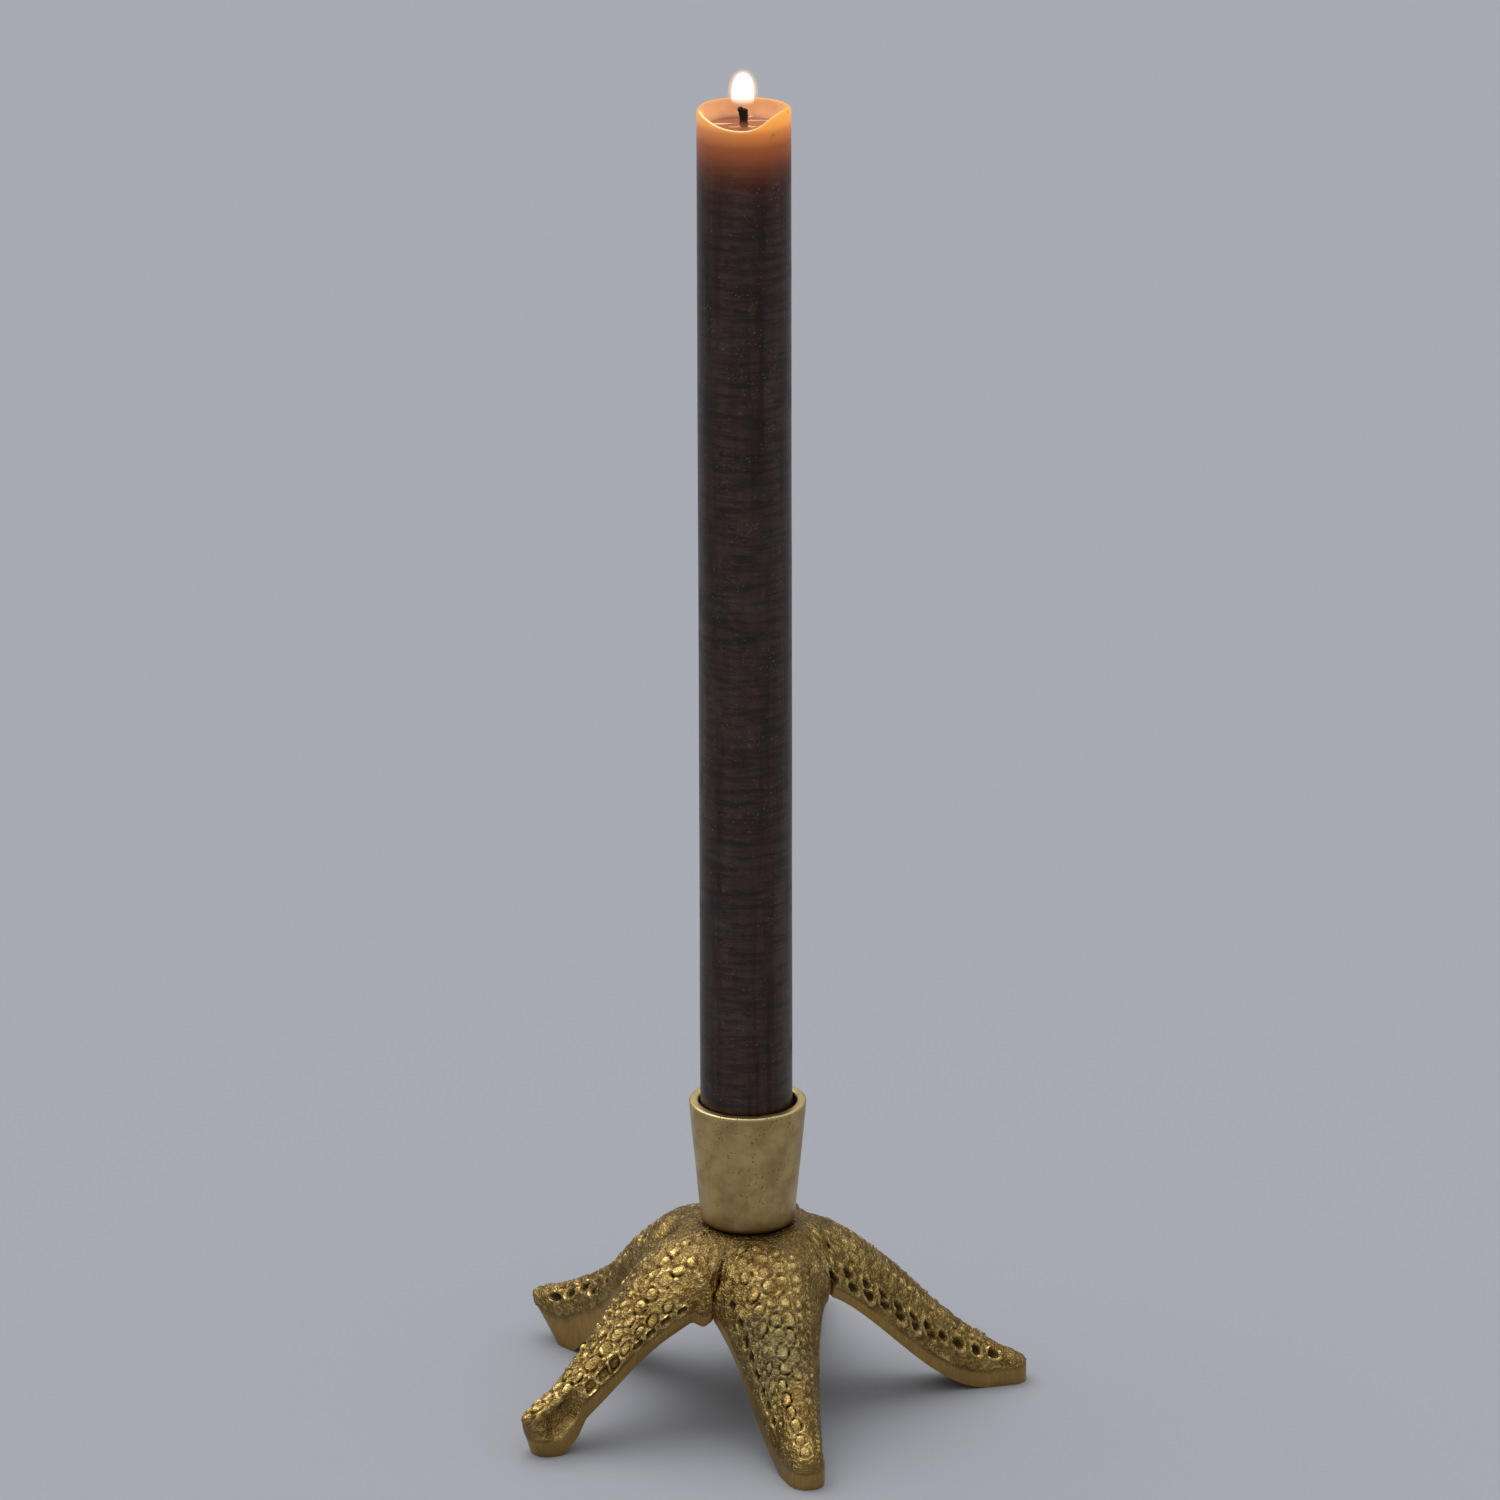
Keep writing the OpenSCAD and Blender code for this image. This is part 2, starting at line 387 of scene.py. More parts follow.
# Relief of the casting: plates, pits, framed cells and beads set out in rows along each arm
# Each row: kind, first and last distance along the arm, pitch, share of the half width at both ends,
# half length, half width
PLATE, PIT, CELL, BEAD = range(4)
ROWS = {
    RIGHT: (
        (PLATE, 16.3, 25.5, 4.6, -0.52, -0.48, 1.7, 1.2),
        (PLATE, 14.2, 20, 4.4, -0.30, -0.26, 1.3, 1.1),
        (BEAD, 14.8, 22, 3.2, -0.74, -0.70, 1.1, 0.9),
        (PIT, 19.2, 52, 5.3, -0.93, -0.70, 1.5, 1.25),
        (PIT, 23.4, 74, 5.35, -0.76, -0.50, 1.45, 1.2),
        (BEAD, 21, 72, 2.6, -0.30, -0.24, 0.75, 0.6),
        (PIT, 26, 70, 5.3, 0.45, 0.35, 1.4, 1.2),
        (PLATE, 18, 66, 4.6, 0.12, 0.05, 1.3, 1.0),
        (CELL, 24, 62, 4.6, 0.78, 0.70, 1.6, 1.2),
    ),
    BACK: (
        (PLATE, 18, 68, 4.4, 0.02, 0.0, 1.5, 1.2),
        (PLATE, 21, 50, 4.4, 0.34, 0.3, 1.4, 1.2),
        (PLATE, 20, 50, 4.4, -0.34, -0.3, 1.4, 1.2),
        (PIT, 24, 64, 5.2, 0.72, 0.62, 1.4, 1.2),
        (CELL, 24, 62, 4.8, -0.74, -0.64, 1.6, 1.3),
    ),
    BACK_LEFT: (
        (BEAD, 20, 64, 3.4, 0.30, 0.36, 0.9, 0.6),
        (PLATE, 18, 60, 4.4, -0.08, 0.0, 1.4, 1.1),
        (PIT, 26, 52, 6.2, 0.55, 0.62, 1.2, 0.9),
        (PIT, 54, 66, 4.2, 0.46, 0.52, 1.3, 1.0),
        (PLATE, 20, 56, 4.6, -0.45, -0.4, 1.4, 1.1),
        (PIT, 24, 60, 5.2, -0.76, -0.66, 1.4, 1.2),
    ),
    FRONT_LEFT: (
        (PLATE, 14.5, 34.5, 3.9, 0.02, 0.02, 1.75, 1.05),
        (PLATE, 21.2, 56.5, 4.35, 0.34, 0.27, 1.7, 1.35),
        (PLATE, 60.2, 64, 3.4, 0.25, 0.26, 1.4, 0.9),
        (PLATE, 57.3, 74.3, 3.35, -0.26, 0.16, 1.35, 0.95),
        (BEAD, 37, 55, 3.0, -0.12, -0.17, 1.1, 0.8),
        (PLATE, 32.6, 48, 4.9, 0.70, 0.74, 1.35, 1.0),
        (CELL, 51.3, 60, 3.9, 0.79, 0.74, 1.55, 1.5),
        (CELL, 29, 47, 5.0, 0.93, 0.93, 1.6, 1.1),
        (BEAD, 24, 56, 2.6, -0.42, -0.5, 0.8, 0.6),
        (CELL, 25, 60, 4.6, -0.74, -0.7, 1.6, 1.3),
    ),
    FRONT: (
        (PLATE, 15.3, 38.5, 4.5, -0.335, -0.30, 1.45, 1.4),
        (PLATE, 16.2, 49.9, 4.2, -0.09, -0.06, 1.5, 1.35),
        (PLATE, 18.8, 51, 4.6, 0.11, 0.10, 1.75, 1.2),
        (PLATE, 42.5, 54, 4.4, -0.33, -0.40, 1.2, 1.0),
        (BEAD, 20, 60, 3.1, 0.30, 0.27, 1.0, 0.8),
        (PLATE, 53.6, 75, 3.65, -0.19, -0.10, 1.35, 1.15),
        (PLATE, 16.6, 23.5, 6.0, -0.66, -0.57, 1.1, 1.1),
        (BEAD, 22, 72, 1.75, 0.50, 0.42, 0.6, 0.5),
        (BEAD, 40, 62, 2.3, -0.46, -0.48, 0.8, 0.6),
        (CELL, 27, 62, 4.4, -0.66, -0.62, 1.5, 1.2),
    ),
}


def lay_out(k, draw):
    """The single features of one arm, with a little play in place, size and tilt."""
    found = []
    for kind, first, last, pitch, share_in, share_out, half_long, half_wide in ROWS[k]:
        for n in range(int((last - first) / pitch + 1e-6) + 1):
            s = first + n * pitch
            share = mix(share_in, share_out, (s - first) / max(last - first, 1))
            play = draw.uniform(-1, 1, 6)
            place_along, place_across = s + 0.3 * play[0], share + 0.012 * play[1]
            size = half_long * (1 + 0.13 * play[2]), half_wide * (1 + 0.13 * play[3])
            found.append((kind, place_along, place_across, *size, play[4], play[5]))
    return found


def carve(height, kind, ds, dx, half_long, half_wide, tilt_along, tilt_across):
    """Sets one feature into the height of the points round it."""
    power = 4 if kind == CELL else 2.3
    q = ((np.abs(ds) / half_long) ** power + (np.abs(dx) / half_wide) ** power) ** (1 / power)
    if kind == PLATE:
        inside = 1 - step(0.84, 1.1, q)
        top = 0.30 + 0.24 * (tilt_along * ds + tilt_across * dx) + 0.06 * (1 - q * q)
        crease = -0.30 * bell(q, 1.22, 0.16) + 0.16 * bell(q, 1.62, 0.22)
        return height * (1 - inside) + top * inside + crease
    if kind == BEAD:
        inside = np.sqrt(np.clip(1 - q * q, 0, 1))
        return height * (1 - 0.7 * inside) + 0.5 * inside - 0.22 * bell(q, 1.25, 0.2)
    if kind == PIT:
        bowl = np.clip(1 - (q / 1.12) ** 2, 0, 1)
        rim = bell(q, 1.32, 0.24) * (0.34 + 0.6 * np.clip(height, -0.2, 0.6))
        return height * (1 - step(0, 0.25, bowl)) - 0.95 * bowl ** 0.8 + rim
    inside = 1 - step(0.72, 1.02, q)
    rim = bell(q, 1.17, 0.13)
    floor = -0.62 + 0.26 * tilt_across * dx
    return height * (1 - inside) + floor * inside + rim * (0.30 + 0.3 * height)


def crust(p):
    """Height of the plain cast surface: soft lumps, low winding ridges and fine grain."""
    lump = noise.noise(p / 6.5) * 0.35 + noise.noise(p / 2.6) * 0.22
    bent = Vector((noise.noise(p / 1.7), noise.noise(p / 1.7 + Vector((7, 1, 3))), 0))
    far = noise.voronoi(p / 2.3 + 0.55 * bent)[0]
    ridge = math.exp(-((far[1] - far[0]) / 0.26) ** 2)
    fine = noise.voronoi(p / 0.9 + Vector((9, 4, 2)))[0]
    grain = min((fine[1] - fine[0]) * 2, 1)
    return lump + 0.34 * (ridge - 0.35) + (grain - 0.4) * 0.13


def set_features(height, arm_of, along, across, half, radius, cast):
    """Sets the features of every arm into the height."""
    share = across / half
    draw = np.random.default_rng(11)
    for k in range(5):
        index = np.nonzero(cast & (arm_of == k) & (np.abs(share) < 0.995))[0]
        for kind, s, f, half_long, half_wide, tilt_along, tilt_across in lay_out(k, draw):
            near = index[np.abs(along[index] - s) < 2.2 * half_long]
            dx = across[near] - f * half[near]
            keep = np.abs(dx) < 2.2 * half_wide
            near, dx = near[keep], dx[keep]
            ds = along[near] - s
            shaped = carve(height[near], kind, ds, dx, half_long, half_wide, tilt_along, tilt_across)
            fade = (1 - step(0.93, 0.995, np.abs(share[near]))) * step(11.6, 13, radius[near])
            height[near] = mix(height[near], shaped, fade)


def levelled(obj, height, rounds=26):
    """The height evened out over each point's neighbours."""
    pairs = np.zeros(len(obj.data.edges) * 2, int)
    obj.data.edges.foreach_get("vertices", pairs)
    pairs = pairs.reshape(-1, 2)
    size = len(height)
    count = np.maximum(np.bincount(pairs.ravel(), minlength=size), 1)
    level = height.copy()
    for _ in range(rounds):
        total = np.bincount(pairs[:, 0], level[pairs[:, 1]], size)
        total += np.bincount(pairs[:, 1], level[pairs[:, 0]], size)
        level = 0.4 * level + 0.6 * total / count
    return level


def relief(obj):
    """Raises the cast surface and marks what stands proud, what lies deep and what is ground smooth."""
    points, out = places(obj), normals(obj)
    arm_of, along, across = marked(obj, "arm"), marked(obj, "along"), marked(obj, "across")
    half, below = marked(obj, "half"), marked(obj, "below")
    share = across / half
    radius = np.hypot(points[:, 0], points[:, 1])
    cast = (below < 0.5) & (along > 9)
    height = np.zeros(len(points))
    for i in np.nonzero(cast)[0]:
        height[i] = crust(Vector(points[i]))
    height *= mix(0.45, 1, step(12.5, 17, radius))
    set_features(height, arm_of, along, across, half, radius, cast)
    # the scooped hollow over the foot of the front left arm
    on_arm = cast & (arm_of == FRONT_LEFT)
    scoop = np.exp(-((along - 67.0) / 4.6) ** 4 - ((share - 0.66) / 0.30) ** 4)
    height = np.where(on_arm, height * (1 - 0.75 * scoop) - 1.7 * scoop, height)
    edge = np.where(cast, 1 - 0.75 * step(0.955, 1.0, np.abs(share)), 0)
    ends = np.array([along[arm_of == k].max() for k in range(5)])
    tip = 1 - 0.6 * step(-3.0, 0.0, along - ends[arm_of.astype(int)])
    height *= edge * tip
    proud = height - levelled(obj, height)
    place(obj, points + out * height[:, None])
    mark(obj, "raised", np.clip(proud / 0.45, 0, 1))
    in_scoop = np.clip(scoop * 1.3, 0, 1) * on_arm
    mark(obj, "hollow", np.clip(-proud / 0.6, 0, 1) * (1 - 0.75 * in_scoop))
    mark(obj, "ground", 1 - cast)
    # painted shade: marks the casting round the cup's foot, where the brass is darkened as if shaded by the
    # cup
    mark(obj, "cup_shade", 1 - step(14, 23, radius))
    for spent in ("arm", "along", "across", "half", "below"):
        obj.data.attributes.remove(obj.data.attributes[spent])


casting = starfish()
relief(casting)
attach(casting, "holder")
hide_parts("starfish_base")
smooth(casting, 70)


# Turned parts, drawn out ring by ring from a circle
def turned(name, profile, sides=128, closed=False):
    """Extrudes a circle through the profile's radii and heights; a closed one ends where it starts."""
    deselect()
    r0, z0 = profile[0]
    start = (AXIS.x, AXIS.y, z0 * MM)
    bpy.ops.mesh.primitive_circle_add(vertices=sides, radius=r0 * MM, location=start)
    obj = named(name)
    bpy.ops.object.transform_apply(location=True)
    bpy.ops.object.mode_set(mode="EDIT")
    bpy.ops.mesh.select_mode(type="EDGE")
    bpy.ops.mesh.select_all(action="SELECT")
    if not closed:
        bpy.ops.mesh.edge_face_add()
    before = (r0, z0)
    for r, z in profile[1:]:
        rise = (0, 0, (z - before[1]) * MM)
        bpy.ops.mesh.extrude_edges_move(TRANSFORM_OT_translate={"value": rise})
        ratio = r / before[0]
        bpy.ops.transform.resize(value=(ratio, ratio, 1), center_override=(AXIS.x, AXIS.y, z * MM))
        before = (r, z)
    if not closed:
        bpy.ops.mesh.edge_face_add()
    bpy.ops.mesh.select_all(action="SELECT")
    bpy.ops.mesh.remove_doubles(threshold=0.004 * MM)
    bpy.ops.mesh.normals_make_consistent(inside=False)
    leave_edit()
    return obj


def rounded(cx, cz, radius, first, last, count):
    """Points of an arc in the profile, angles in degrees."""
    turn = np.radians(np.linspace(first, last, count))
    return [(cx + radius * math.cos(t), cz + radius * math.sin(t)) for t in turn]


CUP_RIM_R = 14.05
CUP_BASE_R = 11.3
CUP_EDGE = 1.6
CUP_LIP = 0.55
SCREW_HOLE_R = 2.55
SOCKET_TOP_R = 11.7
SOCKET_LOW_R = 11.05
SOCKET_DEPTH = 24


def cup():
    wall_foot, wall_top = HUB_Z + CUP_EDGE, RIM_Z - CUP_LIP
    up = np.linspace(0, 1, 12)[1:-1]
    wall = [(mix(CUP_BASE_R, CUP_RIM_R, t), mix(wall_foot, wall_top, t)) for t in up]
    down = np.linspace(0, 1, 8)[1:]
    socket = [(mix(SOCKET_TOP_R, SOCKET_LOW_R, t), mix(RIM_Z - 0.6, RIM_Z - 20, t)) for t in down]
    socket += [(10.7, RIM_Z - SOCKET_DEPTH + 0.4), (10.3, RIM_Z - SOCKET_DEPTH), (4, RIM_Z - SOCKET_DEPTH)]
    profile = [(SCREW_HOLE_R, HUB_Z + 5), (SCREW_HOLE_R, HUB_Z), (8.5, HUB_Z)]
    profile += rounded(CUP_BASE_R - CUP_EDGE, wall_foot, CUP_EDGE, -90, -4, 9)
    profile += wall
    profile += rounded(CUP_RIM_R - CUP_LIP, wall_top, CUP_LIP, 0, 90, 7)
    profile += rounded(SOCKET_TOP_R + CUP_LIP, wall_top, CUP_LIP, 90, 180, 6)
    obj = turned("turned_cup", profile + socket, 160)
    points = places(obj)
    rim = step(RIM_Z - 3, RIM_Z - 0.4, points[:, 2])
    angle = np.arctan2(points[:, 1], points[:, 0])
    about = np.stack([np.cos(angle) * 3, np.sin(angle) * 3, points[:, 2] / 9], 1)
    wear = np.array([noise.noise(Vector(p)) for p in about])
    points[:, 2] += 0.12 * wear * rim
    points[:, :2] *= (1 + 0.004 * wear * (1 - rim) * (points[:, 2] > HUB_Z + 1))[:, None]
    place(obj, points)
    smooth(obj, 50)
    return obj


brass_cup = cup()
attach(brass_cup, "holder")
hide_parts("candle_cup")


# Candle: straight body that leans a little, melted rim with a low place in front, and its pool
WAX_R = 11.0
WAX_TALL = 244.5
WAX_TOP = RIM_Z + WAX_TALL
POOL_Z = WAX_TOP - 4.2
FOOT_Z = RIM_Z - SOCKET_DEPTH + 0.02
CORD_R = 1.0
RIM = (
    (-180, 0.0), (-165, -0.1), (-150, -0.6), (-135, -1.3), (-125, -1.75), (-114, -2.15),
    (-96, -2.45), (-85, -2.35), (-76, -2.1), (-65, -1.1), (-51, 0.3), (-35, 1.1),
    (-20, 1.1), (0, 0.6), (30, 0.3), (90, 0.0), (150, 0.2), (180, 0.0),
)
LIP = ((10.98, 0.75), (10.86, 0.38), (10.64, 0.12), (10.4, 0), (10.12, 0.1), (9.88, 0.4))
INNER_WALL = ((9.7, 0.9), (9.5, 1.6), (9.3, 2.4), (9.1, 3.1), (8.9, 3.65), (8.6, 4.0), (8.3, 4.15))
POOL = (
    (7.6, 0), (6.6, 0), (5.6, 0), (4.6, 0), (3.6, 0), (2.8, 0), (2.1, 0), (1.6, 0), (1.45, 0.08), (1.2, 0.25),
)


def lean_of(z):
    """How far the candle's middle stands to the left at height z."""
    return -0.33 * step(FOOT_Z, RIM_Z, z) - 0.57 * np.clip((z - RIM_Z) / WAX_TALL, 0, 1)


def rim_lift(turn):
    """Lift of the melted rim at each angle about the axis, evened out over 12 degrees."""
    def at(degrees):
        return np.interp((degrees + 180) % 360 - 180, *zip(*RIM))

    return 0.5 * at(turn) + 0.25 * (at(turn + 6) + at(turn - 6))


def candle():
    low_body = np.linspace(RIM_Z - 4.5, WAX_TOP - 14, 40)
    high_body = np.linspace(WAX_TOP - 13, WAX_TOP - 1.2, 14)
    profile = [(CORD_R, FOOT_Z), (10.1, FOOT_Z), (10.25, FOOT_Z + 0.4)]
    profile += [(WAX_R, z) for z in np.concatenate([low_body, high_body])]
    profile += [(r, WAX_TOP - depth) for r, depth in LIP + INNER_WALL]
    profile += [(r, POOL_Z + rise) for r, rise in POOL]
    profile += [(CORD_R, POOL_Z + 0.3), (CORD_R, FOOT_Z)]
    obj = turned("wax_candle", profile, 128, closed=True)
    points = places(obj)
    x, y, z = points.T
    r = np.hypot(x, y)
    wall_share = step(POOL_Z, WAX_TOP - 0.9, z) * (z > WAX_TOP - 20)
    near_rim = np.where(r > 9.75, step(WAX_TOP - 12, WAX_TOP - 1, z), wall_share)
    wave = np.array([noise.noise(Vector(p)) for p in points / (7, 7, 40)])
    grow = 1 + 0.006 * wave * (r > 5) * step(RIM_Z + 3, RIM_Z + 20, z)
    lift = rim_lift(np.degrees(np.arctan2(y, x))) * near_rim
    place(obj, np.stack([x * grow + lean_of(z), y * grow, z + lift], 1))
    in_hollow = z > POOL_Z - 1
    mark(obj, "inside", np.where(in_hollow, 1 - step(9.6, 10.5, r), 0))
    mark(obj, "pool", np.where(in_hollow & (r < 9.9), 1 - step(8.2, 9.2, r), 0))
    facing = step(2.0, -4.0, y) * (0.45 + 0.55 * step(6.0, -1.0, x))
    mark(obj, "lip", bell(r, 10.35, 0.36) * (z > WAX_TOP - 0.6) * facing)
    smooth(obj, 60)
    return obj


wax = candle()
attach(wax, "candle")
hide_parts("candle")


# Wick: one cord through the wax, and a charred end of twisted strands that curl apart
def strand(name, path, radii, sides=12):
    """A closed tube through the points of a path, in millimetres about the cup's axis."""
    path = np.asarray(path, float)
    obj = grid(name, len(path) - 1, sides)
    ahead = np.gradient(path, axis=0)
    ahead /= np.linalg.norm(ahead, axis=1)[:, None]
    side = np.cross(ahead, (0, 1, 0))
    side /= np.linalg.norm(side, axis=1)[:, None]
    other = np.cross(ahead, side)
    turn = np.linspace(0, 2 * np.pi, sides + 1)[None, :, None]
    spokes = np.cos(turn) * side[:, None] - np.sin(turn) * other[:, None]
    place(obj, path[:, None] + np.asarray(radii)[:, None, None] * spokes)
    edit_all(obj)
    bpy.ops.mesh.remove_doubles(threshold=0.002 * MM)
    bpy.ops.mesh.normals_make_consistent(inside=False)
    leave_edit()
    return obj


# Charred strands: how far the end leans right and back, height, turn at the foot and radius
STRANDS = (
    (-0.42, -0.25, 4.95, 0.30, 0.80),
    (0.50, -0.20, 4.75, 2.20, 0.74),
    (0.05, 0.45, 4.30, 4.30, 0.76),
    (-0.10, -0.45, 3.70, 5.40, 0.66),
)
POINT_R = 0.004


def wick():
    foot = lean_of(np.array([POOL_Z]))[0]
    levels = np.linspace(FOOT_Z + 0.3, POOL_Z + 1.5, 40)
    radii = np.full(len(levels), 0.93)
    radii[0] = radii[-1] = POINT_R
    parts = [strand("wick_core", np.stack([lean_of(levels), levels * 0, levels], 1), radii, 16)]
    t = np.linspace(0, 1, 26)
    curl = step(0.7, 1.0, t)
    away = (0.42 + 0.1 * t) * (1 - 0.5 * t)
    for n, (dx, dy, tall, start, thick) in enumerate(STRANDS):
        turn = start + 2.4 * t
        px = foot + away * np.cos(turn) + dx * t + 0.15 * curl * np.sign(dx) - 0.12 * t
        py = away * np.sin(turn) + dy * t - 0.2 * curl
        pz = POOL_Z - 0.3 + (tall + 0.3) * t - 0.25 * curl ** 2
        ends = np.sqrt(np.clip(1 - np.abs(2 * t - 1) ** 14, 0, 1))
        radius = 1.1 * thick * (1 - 0.22 * t) * ends + POINT_R
        parts.append(strand(f"wick_strand_{n}", np.stack([px, py, pz], 1), radius))
    obj = join(parts, "charred_wick")
    points, out = places(obj), normals(obj)
    burnt = np.array([noise.noise(Vector(p) / 0.45) + 0.6 * noise.noise(Vector(p) / 0.2) for p in points])
    above = step(POOL_Z - 0.2, POOL_Z + 1.2, points[:, 2])
    place(obj, points + out * (0.11 * burnt * above)[:, None])
    smooth(obj, 60)
    return obj


cord_end = wick()
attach(cord_end, "candle")
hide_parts("wick")


# Flame: a bright drop inside fainter ones, each given as its growth and its glow
SHELLS = ((1.0, 1.0), (1.16, 0.55), (1.36, 0.25))
FLAME_X = -1.15
FLAME_R = 2.6
WIDEST = 0.36


def flame():
    t = np.linspace(0, 1, 28)
    z = mix(WAX_TOP + 0.4, WAX_TOP + 8.7, t)
    middle = WAX_TOP + 4.0
    upper = FLAME_R * np.clip(1 - np.abs((t - WIDEST) / (1 - WIDEST)) ** 2.4, 0, 1) ** 0.5
    radius = np.where(t < WIDEST, FLAME_R - 0.3 * ((WIDEST - t) / WIDEST) ** 2, upper)
    radius[0] = radius[-1] = 0.01
    parts = []
    for n, (grow, glow) in enumerate(SHELLS):
        height = middle + (z - middle) * (1 + (grow - 1) * 0.45)
        part = strand(f"flame_{n}", np.stack([FLAME_X + 0.1 * t, 0 * t, height], 1), radius * grow, 24)
        mark(part, "glow", np.full(len(part.data.vertices), glow))
        parts.append(part)
    obj = join(parts, "flame")
    smooth(obj, 80)
    return obj


fire = flame()
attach(fire, "candle")


# Shader helpers
class Paint:
    """Adds nodes to a material or group and joins them by value."""

    def __init__(self, tree):
        self.tree = tree

    def node(self, kind, inputs=None, **settings):
        made = self.tree.nodes.new("ShaderNode" + kind)
        for key, value in settings.items():
            setattr(made, key, value)
        for key, value in (inputs or {}).items():
            self.feed(made.inputs[key], value)
        return made

    def feed(self, socket, value):
        if isinstance(value, bpy.types.NodeSocket):
            self.tree.links.new(value, socket)
        elif isinstance(value, (tuple, list)) and len(value) == 3 and socket.type == "RGBA":
            socket.default_value = (*value, 1)
        else:
            socket.default_value = value

    def where(self):
        return self.node("TexCoord").outputs["Object"]

    def spot(self, scale):
        return self.node("Mapping", {"Vector": self.where(), "Scale": scale}).outputs["Vector"]

    def noise(self, scale, detail=3.0, rough=0.5, vector=None):
        given = {"Vector": vector or self.where(), "Scale": scale, "Detail": detail, "Roughness": rough}
        return self.node("TexNoise", given).outputs["Fac"]

    def cells(self, scale, feature="F1"):
        given = {"Vector": self.where(), "Scale": scale}
        return self.node("TexVoronoi", given, feature=feature).outputs["Distance"]

    def mask(self, value, low, high):
        """0 at low, 1 at high, smooth between."""
        given = {"Value": value, "From Min": low, "From Max": high}
        return self.node("MapRange", given, interpolation_type="SMOOTHSTEP").outputs["Result"]

    def math(self, operation, a, b):
        return self.node("Math", {0: a, 1: b}, operation=operation).outputs[0]

    def plus(self, a, b):
        return self.math("ADD", a, b)

    def minus(self, a, b):
        return self.math("SUBTRACT", a, b)

    def times(self, a, b):
        return self.math("MULTIPLY", a, b)

    def blend(self, share, a, b):
        made = self.node("Mix", {0: share, 6: a, 7: b}, data_type="RGBA")
        return made.outputs[2]

    def level(self, share, a, b):
        return self.node("Mix", {0: share, 2: a, 3: b}).outputs[0]

    def attribute(self, name):
        return self.node("Attribute", attribute_name=name).outputs["Fac"]

    def along(self, axis):
        return self.node("SeparateXYZ", {0: self.where()}).outputs[axis]

    def ramp(self, value, stops):
        made = self.node("ValToRGB", {0: value})
        elements = made.color_ramp.elements
        while len(elements) < len(stops):
            elements.new(0.5)
        for element, (position, colour) in zip(elements, stops):
            element.position = position
            element.color = (*colour, 1)
        return made.outputs["Color"]

    def bump(self, height, distance, strength=1.0, normal=None):
        made = self.node("Bump", {"Height": height, "Distance": distance, "Strength": strength})
        if normal is not None:
            self.feed(made.inputs["Normal"], normal)
        return made.outputs["Normal"]

    def use(self, group, **inputs):
        made = self.tree.nodes.new("ShaderNodeGroup")
        made.node_tree = group
        for key, value in inputs.items():
            self.feed(made.inputs[key.replace("_", " ")], value)
        return made.outputs


def effect(name, inputs, outputs, build):
    """A shader node group with named number inputs and outputs."""
    tree = bpy.data.node_groups.new(name, "ShaderNodeTree")
    for label, value in inputs.items():
        socket = tree.interface.new_socket(label, in_out="INPUT", socket_type="NodeSocketFloat")
        socket.default_value = value
    for label in outputs:
        tree.interface.new_socket(label, in_out="OUTPUT", socket_type="NodeSocketFloat")
    paint = Paint(tree)
    given = tree.nodes.new("NodeGroupInput").outputs
    result = tree.nodes.new("NodeGroupOutput").inputs
    for label, value in build(paint, given).items():
        paint.feed(result[label], value)
    return tree


def build_tarnish(paint, given):
    broad = paint.noise(given["Scale"], 4, 0.6)
    return {"Mask": paint.mask(broad, given["Low"], given["High"])}


def build_pits(paint, given):
    patch = paint.noise(paint.times(given["Scale"], 0.16), 2, 0.5)
    size = paint.times(paint.mask(patch, 0.42, 0.62), given["Size"])
    reach = paint.math("DIVIDE", paint.cells(given["Scale"]), paint.plus(size, 0.001))
    depth = paint.minus(1.0, paint.mask(reach, 0.5, 1.0))
    return {"Mask": depth, "Height": paint.minus(1.0, depth)}


def build_streaks(paint, given):
    stretched = paint.spot((1.0, 1.0, 0.06))
    lines = paint.noise(given["Scale"], 3, 0.65, stretched)
    return {"Mask": paint.mask(lines, given["Low"], given["High"])}


def build_crumbs(paint, given):
    rough = paint.noise(paint.times(given["Scale"], 1.7), 3, 0.6)
    top = paint.mask(paint.cells(given["Scale"], "DISTANCE_TO_EDGE"), 0.02, 0.22)
    return {"Height": paint.plus(paint.times(top, 0.6), paint.times(rough, 0.8))}


TARNISH = effect("tarnish", {"Scale": 200.0, "Low": 0.35, "High": 0.65}, ("Mask",), build_tarnish)
PITS = effect("casting_pits", {"Scale": 900.0, "Size": 0.3}, ("Mask", "Height"), build_pits)
STREAKS = effect("streaks", {"Scale": 900.0, "Low": 0.35, "High": 0.65}, ("Mask",), build_streaks)
CRUMBS = effect("crumbs", {"Scale": 1800.0}, ("Height",), build_crumbs)


def material(name):
    made = bpy.data.materials.new(name)
    made.use_nodes = True
    made.node_tree.nodes.clear()
    paint = Paint(made.node_tree)
    shader = paint.node("BsdfPrincipled")
    paint.feed(paint.node("OutputMaterial").inputs["Surface"], shader.outputs["BSDF"])
    return made, paint, shader.inputs


def dress(obj, made):
    obj.data.materials.clear()
    obj.data.materials.append(made)


# Brass of the casting: old in the low places, rubbed bright on the scales, green on part of the front arm,
# and painted shade round the foot of the cup
OLD_BRASS = ((0.215, 0.130, 0.040), (0.340, 0.225, 0.075))
RUBBED_BRASS = ((0.54, 0.38, 0.125), (0.70, 0.52, 0.20))
CUP_SHADE_BRASS = (0.125, 0.082, 0.034)
GREEN_PATINA = (0.17, 0.165, 0.085)
PIT_BRASS = (0.060, 0.036, 0.012)
GROUND_BRASS = ((0.37, 0.225, 0.070), (0.47, 0.295, 0.097))
STAINED_BRASS = (0.27, 0.165, 0.06)
PATINA_AT = (AXIS.x + 4.0 * MM, AXIS.y - 39.0 * MM, 27.0 * MM)


